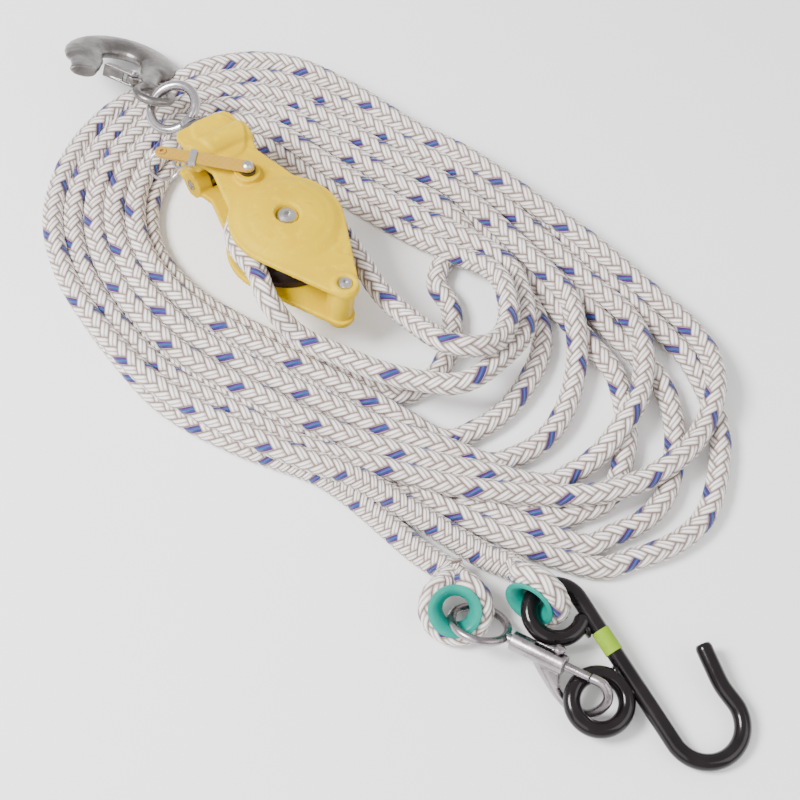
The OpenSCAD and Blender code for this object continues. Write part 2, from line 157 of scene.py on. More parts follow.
def frames_along(line):
    """Tangent and two normals at each point, turning as little as they can."""
    t = np.gradient(line, axis=0)
    t /= np.linalg.norm(t, axis=1)[:, None]
    side = np.cross(t[0], [0.0, 0.0, 1.0])
    if np.linalg.norm(side) < 1e-3:
        side = np.array([1.0, 0.0, 0.0])
    sides = []
    for d in t:
        side = side - d * (side @ d)
        side = side / np.linalg.norm(side)
        sides.append(side)
    sides = np.array(sides)
    return t, sides, np.cross(t, sides)


# ---- rope route ----

# Half of the rope from the top of the sheave's wrap, down a leg to the coil
def wrap(first, last, step):
    return [
        in_block([PITCH_R * math.cos(math.radians(a)), PITCH_R * math.sin(math.radians(a)), 0])
        for a in range(first, last, step)
    ]


LEG_OUT = [
    *wrap(-180, -89, 15),
    in_block([0.014, -PITCH_R, 0]),
    in_block([0.034, -0.036, -0.002]),
    [-0.056, -0.034, 0.034],
    [-0.030, -0.021, 0.033],
    [-0.004, -0.006, 0.033],
    [0.022, 0.018, 0.033],
    [0.028, 0.036, 0.033],
]
LEG_IN = [
    *wrap(-180, -271, -15),
    in_block([0.014, PITCH_R, 0]),
    in_block([0.034, 0.029, -0.003]),
    [-0.052, 0.023, 0.034],
    [-0.034, 0.024, 0.035],
    [-0.016, 0.026, 0.039],
    [0.004, 0.029, 0.046],
    [0.016, 0.040, 0.046],
    [0.018, 0.056, 0.038],
    [0.008, 0.074, 0.033],
]
# First curl of each half, from the leg into the coil's far side
CURL_OUT = [(0.070, 0.018, 0.030), (0.073, 0.042, 0.028), (0.062, 0.066, 0.026), (0.038, 0.086, 0.023)]
CURL_IN = [(0.052, 0.060, 0.031), (0.036, 0.073, 0.026), (0.016, 0.080, 0.016)]
# The far bend of the coil, outermost and innermost centrelines, in the coil's own frame
OUTER_BEND = [
    (0.050, 0.128), (0.005, 0.146), (-0.045, 0.157), (-0.098, 0.172), (-0.146, 0.174),
    (-0.190, 0.149), (-0.221, 0.108), (-0.235, 0.062), (-0.228, 0.014), (-0.200, -0.024),
    (-0.158, -0.054), (-0.112, -0.076), (-0.060, -0.085), (0.000, -0.090),
]  # fmt: skip
INNER_BEND = [
    (0.030, 0.078), (0.000, 0.088), (-0.045, 0.097), (-0.090, 0.109), (-0.128, 0.122),
    (-0.158, 0.121), (-0.180, 0.101), (-0.189, 0.074), (-0.186, 0.046), (-0.172, 0.020),
    (-0.148, 0.000), (-0.115, -0.013), (-0.070, -0.021), (-0.020, -0.028),
]  # fmt: skip
# Each half's turns from the inside out: how far across the bend each one lies, and the near
# loop that follows it, as (centre s, reach s, lower t, middle t, upper t)
LANES_OUT = (0.11, 0.34, 0.57, 0.80, 0.90)
LOOPS_OUT = (
    (0.030, 0.087, -0.054, 0.030, 0.084),
    (0.060, 0.113, -0.062, 0.006, 0.088),
    (0.090, 0.151, -0.058, 0.020, 0.092),
    (0.100, 0.193, -0.056, 0.028, 0.100),
)
LANES_IN = (0.0, 0.22, 0.45, 0.70, 1.0)
LOOPS_IN = (
    (0.000, 0.034, -0.030, 0.008, 0.062),
    (0.105, 0.155, -0.068, -0.034, 0.050),
    (0.120, 0.184, -0.076, -0.024, 0.060),
    (0.120, 0.210, -0.088, -0.022, 0.084),
)
TAIL_SNAP = [[0.084, -0.052, 0.007], [0.098, -0.048, 0.008], [0.112, -0.046, 0.011]]
TAIL_HOOK = [[0.100, -0.027, 0.007], [0.118, -0.020, 0.009], [0.134, -0.014, 0.015]]
EYE_SNAP = ([0.1299, -0.0563, 0.0153], [0.372, -0.406, 0.835])
EYE_HOOK = ([0.1513, -0.0178, 0.0218], [0.31, -0.92, 0.24])
EYE_R = 0.0153


def bend(lane, height):
    """One pass round the far bend, at a fraction of the way from its inside to its outside."""
    return [
        in_coil(a[0] + lane * (b[0] - a[0]), a[1] + lane * (b[1] - a[1]), height)
        for a, b in zip(INNER_BEND, OUTER_BEND)
    ]


def loop(turn, height):
    """One near loop, from its lower side round to its upper side."""
    centre, reach, low, middle, high = turn
    points = []
    for a in range(-75, 76, 25):
        rise = (high - middle) if a > 0 else (middle - low)
        s = centre + (reach - centre) * math.cos(math.radians(a))
        points.append(in_coil(s, middle + rise * math.sin(math.radians(a)), height))
    return points


def eye(centre, axis, throat):
    """Most of a circle round a thimble, from its throat and back to it."""
    c, n = np.array(centre), np.array(axis) / np.linalg.norm(axis)
    x = np.array(throat) - c
    x -= n * (x @ n)
    x /= np.linalg.norm(x)
    y = np.cross(n, x)
    angles = [math.radians(a) for a in range(45, 320, 18)]
    round_it = [c + EYE_R * (math.cos(a) * x + math.sin(a) * y) for a in angles]
    into = np.array(throat) - y * 0.004
    return round_it + [into, into + x * 0.008]


def half(leg, curl, lanes, loops, height, tail, thimble):
    """Points of one half of the rope, from the sheave to the throat of its own eye."""
    points = list(leg) + [in_coil(*p) for p in curl]
    for k, lane in enumerate(lanes):
        points += bend(lane, height)[1 if k else 2 :]
        if k < len(loops):
            points += loop(loops[k], height)
    points += tail
    fixed_from = len(points) - len(tail)
    points += eye(*thimble, tail[-1])
    return points, len(leg), fixed_from


def settle(halves, obstacles, rounds=140):
    """Lets the rope's turns push each other, the floor and the hardware a diameter apart."""
    rest = np.concatenate([line for line, _ in halves])
    loose = np.concatenate([free for _, free in halves])
    strand = np.concatenate([np.full(len(line), k) for k, (line, _) in enumerate(halves)])
    at = rest.copy()
    order = np.arange(len(at))
    for r in range(rounds):
        if r % 8 == 0:
            gap = np.linalg.norm(at[:, None, :] - at[None, :, :], axis=2)
            apart = (np.abs(order[:, None] - order[None, :]) > 5) | (strand[:, None] != strand[None, :])
            i, j = np.nonzero(np.triu((gap < 1.6 * ROPE_D) & apart))
        away = at[i] - at[j]
        gap = np.linalg.norm(away, axis=1)
        away /= np.maximum(gap, 1e-6)[:, None]
        push = np.maximum(0, ROPE_D - 0.0004 - gap) * 0.5
        move = np.zeros_like(at)
        share = loose[i] + loose[j] + 1e-9
        np.add.at(move, i, away * (push * 2 * loose[i] / share)[:, None])
        np.add.at(move, j, -away * (push * 2 * loose[j] / share)[:, None])
        count = np.bincount(np.concatenate([i, j]), minlength=len(at))
        at = at + move / np.maximum(1, 0.6 * count)[:, None] * 0.9
        at[:, 2] -= 0.00012 * loose
        for k in np.nonzero(loose > 0)[0]:
            near, normal, _, far = obstacles.find_nearest(Vector(at[k]), 2 * ROPE_D)
            if near is None:
                continue
            out = Vector(at[k]) - near
            if out.dot(normal) < 0:
                at[k] = near + normal * ROPE_R
            elif far < ROPE_R:
                at[k] = near + out.normalized() * ROPE_R
        shift = at - rest
        for line_number in range(len(halves)):
            own = strand == line_number
            s = shift[own]
            smooth = s.copy()
            smooth[1:-1] = 0.5 * s[1:-1] + 0.25 * (s[:-2] + s[2:])
            shift[own] = smooth
        at = rest + shift * (loose * 0.995)[:, None]
        at[:, 2] = np.maximum(at[:, 2], ROPE_R)
    return [at[strand == k] for k in range(len(halves))]


def rope_lines():
    """The settled centreline of both halves, in the row frame."""
    routes = (
        half(LEG_OUT, CURL_OUT, LANES_OUT, LOOPS_OUT, 0.0185, TAIL_HOOK, EYE_HOOK),
        half(LEG_IN, CURL_IN, LANES_IN, LOOPS_IN, 0.0066, TAIL_SNAP, EYE_SNAP),
    )
    halves = []
    for points, leg_end, tail_start in routes:
        points = placed(points)
        line = even(spline(points, 0.004), POINT_STEP)
        head = len(even(spline(points[:leg_end], 0.004), POINT_STEP))
        tail = len(even(spline(points[tail_start:], 0.004), POINT_STEP))
        free = np.ones(len(line))
        free[: head - 6] = 0
        free[len(line) - tail - 2 :] = 0
        ramp = np.linspace(0, 1, 12)
        free[head - 6 : head + 6] = ramp
        free[len(line) - tail - 14 : len(line) - tail - 2] = ramp[::-1]
        halves.append((line, free))
    nodes = ("load_hook", "swivel_eye", "rear_cheek", "front_cheek", "hand_hook_rod", "hand_hook_ring")
    nodes += ("thimble_snap", "thimble_hook", "snap_eye", "snap_body")
    vertices, faces = [], []
    for n in nodes:
        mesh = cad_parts[n].data
        start = len(vertices)
        vertices += [v.co.copy() for v in mesh.vertices]
        faces += [[start + k for k in p.vertices] for p in mesh.polygons]
    return settle(halves, BVHTree.FromPolygons(vertices, faces))


# ---- braid ----


def float_height(u, v):
    """Height of the woven surface, 0 to 1, where strand numbers u one way and v the other cross."""
    i, j = np.floor(u), np.floor(v)
    across_u, across_v = u - i - 0.5, v - j - 0.5
    k = np.mod(i + j, 4)
    one_way = k < 2
    across = np.where(one_way, across_u, across_v)
    along = np.where(one_way, across_v + k - 0.5, across_u + k - 2.5)
    crown = np.maximum(0, 1 - np.abs(2 * across) ** 2.4)
    return crown**0.6 * np.maximum(0, 1 - np.abs(along) ** 3)


def braided_rope(name, line, splice_length):
    """Tube of 12-strand braid along a line; its last stretch is the fatter, denser splice."""
    line = even(spline(line, RING_STEP), RING_STEP)
    for _ in range(3):
        line[2:-2] = (line[:-4] + line[1:-3] + line[2:-2] + line[3:-1] + line[4:]) / 5
    line = even(line, RING_STEP)
    _, side, up = frames_along(line)
    n = len(line)
    left = (n - 1 - np.arange(n)) * RING_STEP
    eye_part = 2 * math.pi * EYE_R * 0.76 + 0.024
    into = np.clip((splice_length + eye_part - left) / splice_length, 0, 1) * (left > eye_part)
    pitch = BRAID_PITCH + (SPLICE_PITCH - BRAID_PITCH) * np.clip(into * 4, 0, 1)
    turns = np.cumsum(RING_STEP / pitch)
    base = ROPE_R - 0.0004 + 0.0012 * into**0.7
    base[left <= eye_part] = ROPE_R - 0.0006
    base -= 0.0022 * np.clip(1 - left / 0.016, 0, 1)
    base = np.convolve(np.pad(base, 8, mode="edge"), np.ones(17) / 17, mode="valid")
    phi = np.arange(ROPE_SIDES) / ROPE_SIDES
    u = 6 * (phi[None, :] + turns[:, None])
    v = 6 * (phi[None, :] - turns[:, None])
    radius = base[:, None] + 0.0007 * float_height(u, v)
    cos, sin = np.cos(2 * math.pi * phi), np.sin(2 * math.pi * phi)
    rim = cos[None, :, None] * side[:, None, :] + sin[None, :, None] * up[:, None, :]
    points = line[:, None, :] + radius[..., None] * rim
    vertices = points.reshape(-1, 3)
    vertices[:, 2] = np.maximum(vertices[:, 2], 0.0003)
    ring = np.arange(n - 1)[:, None] * ROPE_SIDES
    a = np.arange(ROPE_SIDES)[None, :]
    b = (a + 1) % ROPE_SIDES
    quads = np.stack([ring + a, ring + ROPE_SIDES + a, ring + ROPE_SIDES + b, ring + b], axis=2)
    quads = quads.reshape(-1, 4)
    caps = [list(range(ROPE_SIDES)), [(n - 1) * ROPE_SIDES + k for k in range(ROPE_SIDES)][::-1]]
    mesh = bpy.data.meshes.new(name)
    mesh.from_pydata(vertices.tolist(), [], quads.tolist() + caps)
    layer = mesh.uv_layers.new(name="weave")
    column = np.broadcast_to(a, (n - 1, ROPE_SIDES)).reshape(-1)
    row = np.broadcast_to(np.arange(n - 1)[:, None], (n - 1, ROPE_SIDES)).reshape(-1)
    around = np.stack([column, column, column + 1, column + 1], axis=1) / ROPE_SIDES
    on = np.stack([turns[row], turns[row + 1], turns[row + 1], turns[row]], axis=1)
    coords = np.stack([around, on], axis=2).reshape(-1, 2)
    flat = np.zeros((len(mesh.loops), 2))
    flat[: len(coords)] = coords
    layer.data.foreach_set("uv", flat.reshape(-1))
    mesh.polygons.foreach_set("use_smooth", np.ones(len(mesh.polygons), bool))
    mesh.update()
    obj = bpy.data.objects.new(name, mesh)
    bpy.context.scene.collection.objects.link(obj)
    return obj, line


# ---- materials ----


class Nodes:
    """A material's node tree, with short calls for its nodes."""

    def __init__(self, name, roughness=0.5, metallic=0.0, coat=0.0, specular=0.5):
        self.material = bpy.data.materials.new(name)
        self.material.use_nodes = True
        self.tree = self.material.node_tree
        self.shader = self.tree.nodes["Principled BSDF"]
        self.shader.inputs["Roughness"].default_value = roughness
        self.shader.inputs["Metallic"].default_value = metallic
        self.shader.inputs["Coat Weight"].default_value = coat
        self.shader.inputs["Specular IOR Level"].default_value = specular

    def add(self, kind, **settings):
        node = self.tree.nodes.new(kind)
        for key, value in settings.items():
            setattr(node, key, value)
        return node

    def join(self, source, target):
        if hasattr(source, "is_output"):
            self.tree.links.new(source, target)
        else:
            target.default_value = source

    def math(self, operation, a, b=0.0, clamp=False):
        node = self.add("ShaderNodeMath", operation=operation, use_clamp=clamp)
        self.join(a, node.inputs[0])
        self.join(b, node.inputs[1])
        return node.outputs[0]

    def noise(self, scale, detail=4.0, rough=0.55, vector=None):
        node = self.add("ShaderNodeTexNoise")
        node.inputs["Scale"].default_value = scale
        node.inputs["Detail"].default_value = detail
        node.inputs["Roughness"].default_value = rough
        self.join(vector or self.place(), node.inputs["Vector"])
        return node.outputs["Fac"]

    def place(self):
        return self.add("ShaderNodeTexCoord").outputs["Object"]

    def ramp(self, value, *stops):
        node = self.add("ShaderNodeValToRGB")
        self.join(value, node.inputs["Fac"])
        points = node.color_ramp.elements
        while len(points) < len(stops):
            points.new(0.5)
        for point, (where, colour) in zip(points, stops):
            point.position = where
            point.color = (*colour, 1.0) if len(colour) == 3 else colour
        return node.outputs["Color"]

    def grey(self, value, *stops):
        return self.ramp(value, *[(w, (g, g, g)) for w, g in stops])

    def mix(self, factor, a, b, blend="MIX"):
        node = self.add("ShaderNodeMix", data_type="RGBA", blend_type=blend)
        self.join(factor, node.inputs["Factor"])
        for value, target in ((a, node.inputs[6]), (b, node.inputs[7])):
            self.join((*value, 1.0) if isinstance(value, tuple) else value, target)
        return node.outputs[2]

    def bump(self, height, strength, distance):
        node = self.add("ShaderNodeBump")
        node.inputs["Strength"].default_value = strength
        node.inputs["Distance"].default_value = distance
        self.join(height, node.inputs["Height"])
        last = self.shader.inputs["Normal"]
        if last.links:
            self.tree.links.new(last.links[0].from_socket, node.inputs["Normal"])
        self.tree.links.new(node.outputs["Normal"], last)

    def edge_wear(self, amount=1.0):
        """Fraction that is 1 on worn, convex edges."""
        point = self.add("ShaderNodeNewGeometry").outputs["Pointiness"]
        return self.grey(point, (0.50, 0.0), (0.56, amount))

    def done(self, colour=None, roughness=None):
        if colour is not None:
            self.join((*colour, 1.0) if isinstance(colour, tuple) else colour, self.shader.inputs["Base Color"])
        if roughness is not None:
            self.join(roughness, self.shader.inputs["Roughness"])
        return self.material


def srgb(r, g, b):
    """Linear colour of an 8-bit screen colour."""
    return tuple(((c / 255 + 0.055) / 1.055) ** 2.4 if c > 10 else c / 3295 for c in (r, g, b))


def rope_material():
    m = Nodes("rope_braid", roughness=0.62, specular=0.35)
    m.shader.inputs["Sheen Weight"].default_value = 0.25
    split = m.add("ShaderNodeSeparateXYZ")
    m.join(m.add("ShaderNodeUVMap", uv_map="weave").outputs["UV"], split.inputs[0])
    around, turns = split.outputs["X"], split.outputs["Y"]
    u = m.math("MULTIPLY", m.math("ADD", around, turns), 6.0)
    v = m.math("MULTIPLY", m.math("SUBTRACT", around, turns), 6.0)
    i, j = m.math("FLOOR", u), m.math("FLOOR", v)
    across_u = m.math("SUBTRACT", m.math("SUBTRACT", u, i), 0.5)
    across_v = m.math("SUBTRACT", m.math("SUBTRACT", v, j), 0.5)
    k = m.math("FLOORED_MODULO", m.math("ADD", i, j), 4.0)
    one_way = m.math("LESS_THAN", k, 1.5)
    other_way = m.math("SUBTRACT", 1.0, one_way)
    across = m.math(
        "ADD", m.math("MULTIPLY", one_way, across_u), m.math("MULTIPLY", other_way, across_v)
    )
    along = m.math(
        "ADD",
        m.math("MULTIPLY", one_way, m.math("ADD", across_v, m.math("SUBTRACT", k, 0.5))),
        m.math("MULTIPLY", other_way, m.math("ADD", across_u, m.math("SUBTRACT", k, 2.5))),
    )
    edge = m.math("ABSOLUTE", m.math("MULTIPLY", across, 2.0))
    end = m.math("ABSOLUTE", along)
    crown = m.math("SUBTRACT", 1.0, m.math("POWER", edge, 3.0), clamp=True)
    body = m.math("MULTIPLY", crown, m.math("SUBTRACT", 1.0, m.math("POWER", end, 4.0), clamp=True))
    # each strand is a pair of yarns lying side by side
    aside = m.math("ABSOLUTE", m.math("MULTIPLY", m.math("SUBTRACT", edge, 0.5), 2.0))
    yarn = m.math("SUBTRACT", 1.0, m.math("POWER", aside, 2.0), clamp=True)
    yarns = m.math("MULTIPLY", m.math("POWER", body, 0.5), m.math("ADD", 0.42, m.math("MULTIPLY", yarn, 0.58)))
    fibres = m.add("ShaderNodeTexNoise")
    stretch = m.add("ShaderNodeCombineXYZ")
    m.join(m.math("MULTIPLY", across, 9.0), stretch.inputs[0])
    m.join(m.math("MULTIPLY", along, 1.2), stretch.inputs[1])
    m.join(m.math("ADD", i, m.math("MULTIPLY", j, 7.3)), stretch.inputs[2])
    m.join(stretch.outputs[0], fibres.inputs["Vector"])
    fibres.inputs["Scale"].default_value = 1.0
    fibres.inputs["Detail"].default_value = 3.0
    streak = fibres.outputs["Fac"]
    # painted shade and highlight: the colour runs from dark brown in the grooves between yarns and floats to
    # white on the yarn crests
    painted_groove_shade_and_crest_highlight = m.ramp(
        yarns,
        (0.0, (0.13, 0.08, 0.065)),
        (0.38, (0.36, 0.29, 0.26)),
        (0.66, (0.64, 0.575, 0.54)),
        (0.90, (1.0, 0.99, 0.98)),
    )
    # random soil darkening laid over the painted groove shade and crest highlight
    soil_over_painted_shade = m.mix(m.grey(m.noise(22.0), (0.35, 0.0), (0.75, 0.35)), painted_groove_shade_and_crest_highlight, srgb(214, 200, 192), "MULTIPLY")
    white = m.mix(m.grey(streak, (0.3, 0.35), (0.7, 0.0)), soil_over_painted_shade, srgb(214, 205, 198), "MULTIPLY")
    strand = m.math("FLOORED_MODULO", i, 6.0)
    marked = m.math("MULTIPLY", m.math("LESS_THAN", strand, 0.5), m.math("LESS_THAN", edge, 0.8))
    tracer = m.math("MULTIPLY", one_way, marked)
    tones = m.ramp(
        edge,
        (0.0, (0.0, 0.11, 0.26)),
        (0.25, (0.01, 0.03, 0.18)),
        (0.42, (0.05, 0.0, 0.13)),
        (0.9, (0.03, 0.0, 0.08)),
    )
    # painted shade: the tracer colour darkens towards the edges and ends of its floats, where they dip into the
    # gaps
    tracer_with_painted_gap_shade = m.mix(m.grey(body, (0.0, 0.75), (0.5, 0.0)), tones, srgb(40, 30, 90))
    colour = m.mix(m.math("MULTIPLY", tracer, m.grey(body, (0.02, 0.0), (0.12, 1.0))), white, tracer_with_painted_gap_shade)
    m.bump(yarns, 1.0, 0.0009)
    m.bump(streak, 0.35, 0.00025)
    return m.done(colour)


def yellow_material(name="yellow_shell"):
    m = Nodes(name, roughness=0.45, specular=0.14)
    broad = m.noise(28.0, 3.0)
    colour = m.ramp(
        broad, (0.3, (0.58, 0.36, 0.0)), (0.5, (0.64, 0.42, 0.0)), (0.7, (0.68, 0.45, 0.0))
    )
    scuffs = m.grey(m.noise(160.0, 6.0, 0.7), (0.56, 0.0), (0.64, 0.5))
    colour = m.mix(scuffs, colour, (0.74, 0.52, 0.005))
    dirt = m.grey(m.noise(55.0, 5.0, 0.65), (0.60, 0.0), (0.72, 0.35))
    colour = m.mix(dirt, colour, (0.26, 0.12, 0.005))
    colour = m.mix(m.edge_wear(0.35), colour, (0.66, 0.48, 0.02))
    m.bump(m.noise(900.0, 3.0), 0.12, 0.0003)
    m.bump(m.noise(90.0, 4.0), 0.10, 0.0006)
    return m.done(colour, m.grey(m.noise(120.0), (0.3, 0.30), (0.7, 0.48)))


def metal_material(name, low, high, roughness, grain=700.0, bump=0.15, pits=0.3):
    m = Nodes(name, metallic=1.0)
    colour = m.ramp(m.noise(60.0, 5.0, 0.6), (0.35, low), (0.65, high))
    spots = m.grey(m.noise(260.0, 4.0, 0.7), (0.60, 0.0), (0.70, pits))
    colour = m.mix(spots, colour, tuple(0.45 * c for c in low))
    colour = m.mix(m.edge_wear(0.5), colour, tuple(min(1.0, 1.25 * c) for c in high))
    m.bump(m.noise(grain, 4.0), bump, 0.0004)
    m.bump(m.noise(45.0, 3.0), bump, 0.0012)
    rough = m.grey(m.noise(140.0, 4.0), (0.3, roughness - 0.07), (0.7, roughness + 0.10))
    return m.done(colour, rough)


def black_material(name, base, roughness, coat, wear=srgb(120, 104, 96)):
    m = Nodes(name, roughness=roughness, coat=coat, specular=0.2)
    m.shader.inputs["Coat Roughness"].default_value = 0.08
    colour = m.ramp(m.noise(70.0, 4.0), (0.3, base), (0.7, tuple(1.5 * c + 0.003 for c in base)))
    chips = m.grey(m.noise(210.0, 5.0, 0.75), (0.66, 0.0), (0.70, 0.8))
    colour = m.mix(chips, colour, wear)
    m.bump(m.noise(130.0, 3.0), 0.12, 0.0006)
    return m.done(colour, m.grey(m.noise(90.0), (0.3, roughness - 0.05), (0.7, roughness + 0.12)))


def plastic_material(name, low, high, roughness=0.35):
    m = Nodes(name, roughness=roughness, coat=0.05, specular=0.2)
    m.shader.inputs["Subsurface Weight"].default_value = 0.05
    colour = m.ramp(m.noise(80.0, 3.0), (0.3, low), (0.7, high))
    rubbed = m.grey(m.noise(240.0, 5.0, 0.7), (0.6, 0.0), (0.7, 0.3))
    colour = m.mix(rubbed, colour, tuple(min(1.0, 1.35 * c + 0.05) for c in high))
    m.bump(m.noise(500.0, 3.0), 0.10, 0.0003)
    return m.done(colour, m.grey(m.noise(150.0), (0.3, roughness - 0.05), (0.7, roughness + 0.12)))


def webbing_material():
    m = Nodes("webbing_weave", roughness=0.7, specular=0.25)
    m.shader.inputs["Sheen Weight"].default_value = 0.3
    turn = m.add("ShaderNodeMapping")
    turn.inputs["Rotation"].default_value = (0.0, 0.0, math.radians(44.0))
    m.join(m.place(), turn.inputs["Vector"])
    ribs = m.add("ShaderNodeTexWave", wave_type="BANDS", bands_direction="X")
    ribs.inputs["Scale"].default_value = 340.0
    ribs.inputs["Distortion"].default_value = 0.6
    m.join(turn.outputs[0], ribs.inputs["Vector"])
    warp = m.add("ShaderNodeTexWave", wave_type="BANDS", bands_direction="Y")
    warp.inputs["Scale"].default_value = 460.0
    warp.inputs["Distortion"].default_value = 0.4
    m.join(turn.outputs[0], warp.inputs["Vector"])
    weave = m.math("MULTIPLY", ribs.outputs["Fac"], warp.outputs["Fac"])
    colour = m.ramp(weave, (0.0, (0.32, 0.17, 0.0)), (0.5, (0.62, 0.36, 0.0)), (1.0, (0.78, 0.48, 0.005)))
    worn = m.grey(m.noise(90.0, 5.0), (0.5, 0.0), (0.75, 0.4))
    colour = m.mix(worn, colour, srgb(196, 146, 70))
    m.bump(weave, 0.6, 0.0003)
    return m.done(colour)


def make_materials():
    bright = metal_material("zinc_bright", srgb(176, 172, 172), srgb(208, 204, 204), 0.28)
    return {
        "yellow": yellow_material(),
        "yellow_plain": yellow_material("yellow_inner"),
        "sheave": black_material("sheave_black", srgb(40, 28, 26), 0.45, 0.1, srgb(86, 70, 60)),
        "bronze": metal_material("bronze_bush", srgb(150, 110, 60), srgb(196, 150, 90), 0.35),
        "bolt": bright,
        "galvanised": metal_material(
            "galvanised", srgb(100, 97, 96), srgb(146, 142, 140), 0.36, 420.0, 0.34, 0.45
        ),
        "steel": metal_material("polished_steel", srgb(168, 164, 168), srgb(206, 202, 206), 0.2, 800.0, 0.08),
        "snap": metal_material("zinc_snap", srgb(132, 124, 128), srgb(176, 168, 172), 0.26, 500.0, 0.18),
        "dark": metal_material("dark_washer", srgb(58, 50, 56), srgb(88, 78, 82), 0.4),
        "webbing": webbing_material(),
        "rod": black_material("rod_black", srgb(11, 6, 8), 0.14, 0.22, srgb(44, 34, 32)),
        "band": plastic_material("band_green", (0.18, 0.32, 0.005), (0.26, 0.40, 0.01), 0.5),
        "teal": plastic_material("thimble_teal", (0.0, 0.20, 0.155), (0.0, 0.27, 0.205)),
        "rope": rope_material(),
    }


# ---- pieces ----


def shown(name, mesh, body, material, slot, *nodes):
    """A new piece in the row frame that rides on a body and stands for CAD nodes."""
    obj = bpy.data.objects.new(name, mesh)
    bpy.context.scene.collection.objects.link(obj)
    finish_piece(obj, body, material, slot, *nodes)
    return obj


def finish_piece(obj, body, material, slot, *nodes):
    obj.data.materials.clear()
    obj.data.materials.append(material)
    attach(obj, body)
    if nodes:
        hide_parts(*nodes)


def rounded(node, voxel, smooth, sculpt=None):
    """A CAD node's shape with its edges eased as a casting's or a moulding's are."""
    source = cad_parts[node]
    copy = bpy.data.objects.new("copy", source.data.copy())
    bpy.context.scene.collection.objects.link(copy)
    remesh = copy.modifiers.new("remesh", "REMESH")
    remesh.mode = "VOXEL"
    remesh.voxel_size = voxel
    ease = copy.modifiers.new("ease", "SMOOTH")
    ease.factor = 0.5
    ease.iterations = smooth
    graph = bpy.context.evaluated_depsgraph_get()
    mesh = bpy.data.meshes.new_from_object(copy.evaluated_get(graph))
    mesh.name = node
    bpy.data.objects.remove(copy)
    if sculpt:
        points = np.zeros(len(mesh.vertices) * 3)
        mesh.vertices.foreach_get("co", points)
        points = sculpt(points.reshape(-1, 3))
        mesh.vertices.foreach_set("co", points.reshape(-1))
    mesh.polygons.foreach_set("use_smooth", np.ones(len(mesh.polygons), bool))
    mesh.update()
    return mesh


def swept(name, path, radius, sides):
    """A round bar along a path, its sawn ends just broken at their edges."""
    line = even(spline(path, 0.001), ROD_STEP)
    _, side, up = frames_along(line)
    n = len(line)
    left = np.minimum(np.arange(n), n - 1 - np.arange(n)) * ROD_STEP
    r = radius * (0.80 + 0.20 * np.sqrt(np.clip(left / 0.0024, 0, 1)))
    phi = np.arange(sides) / sides * 2 * math.pi
    rim = np.cos(phi)[None, :, None] * side[:, None, :] + np.sin(phi)[None, :, None] * up[:, None, :]
    points = (line[:, None, :] + r[:, None, None] * rim).reshape(-1, 3)
    faces = [
        [k * sides + a, (k + 1) * sides + a, (k + 1) * sides + (a + 1) % sides, k * sides + (a + 1) % sides]
        for k in range(n - 1)
        for a in range(sides)
    ]
    faces += [list(range(sides)), [(n - 1) * sides + a for a in range(sides)][::-1]]
    mesh = bpy.data.meshes.new(name)
    mesh.from_pydata(points.tolist(), [], faces)
    mesh.polygons.foreach_set("use_smooth", np.ones(len(mesh.polygons), bool))
    mesh.update()
    return mesh


def blobs(name, beads):
    """One lumpy weld run from overlapping beads, given in the hand hook's frame as (x, y, z, radius)."""
    soft = bpy.data.metaballs.new(name)
    soft.resolution = 0.0006
    soft.threshold = 0.6
    for x, y, z, r in beads:
        ball = soft.elements.new()
        ball.co = HAND_FRAME @ Vector((x, y, z))
        ball.radius = r * 1.35
    obj = bpy.data.objects.new(name, soft)
    bpy.context.scene.collection.objects.link(obj)
    bpy.context.view_layer.update()
    mesh = bpy.data.meshes.new_from_object(obj.evaluated_get(bpy.context.evaluated_depsgraph_get()))
    mesh.polygons.foreach_set("use_smooth", np.ones(len(mesh.polygons), bool))
    bpy.data.objects.remove(obj)
    return mesh


def broad_bowl(points):
    """Widens the load hook's bowl as the forging's is, most on its outer side and at its blunt tip."""
    back = np.array(HOOK_FRAME.inverted())
    local = points @ back[:3, :3].T + back[:3, 3]
    x, y = local[:, 0] - 0.050, local[:, 1] - 0.003
    r = np.hypot(x, y)
    part = np.clip((local[:, 0] - 0.024) / 0.012, 0, 1)
    wide = np.where(r > 0.024, 1.0 + 0.48 * part, 1.0 + 0.30 * part)
    scale = (0.024 + (r - 0.024) * wide) / np.maximum(r, 1e-6)
    local[:, 0], local[:, 1] = 0.050 + x * scale, 0.003 + y * scale
    local[:, 2] *= 1.0 - 0.10 * part
    forth = np.array(HOOK_FRAME)
    return local @ forth[:3, :3].T + forth[:3, 3]


def hood(points):
    """Raises the hood over the head barrel and crowns the dome of a cheek."""
    back = np.array(BLOCK_FRAME.inverted())
    local = points @ back[:3, :3].T + back[:3, 3]
    u, v, w = local.T / MM
    sign = np.sign(w)
    top = np.clip((np.abs(w) - 15.0) / 3.0, 0, 1)
    inside = 1 - ((u + 76) / 21) ** 2 - ((v - 3) / 15.5) ** 2
    lift = 1.7 * np.clip(inside * 5, 0, 1) * np.clip((np.abs(w) - 12.0) / 4, 0, 1)
    r = np.hypot(u, v)
    crown = 1.2 * np.clip(1 - (r / 24) ** 2, 0, 1) * (r > 8) * top
    w = w + sign * (lift + crown)
    local = np.stack([u, v, w], axis=1) * MM
    forth = np.array(BLOCK_FRAME)
    return local @ forth[:3, :3].T + forth[:3, 3]


def build_rope(mats):
    cords = (
        ("rope_to_hook", ("rope_coil", "rope_over_sheave", "rope_splice_hook"), 0.150),
        ("rope_to_snap", ("rope_splice_snap",), 0.170),
    )
    for (name, nodes, splice), line in zip(cords, rope_lines()):
        obj, path = braided_rope(name, line, splice)
        finish_piece(obj, "block", mats["rope"], "rope", *nodes)


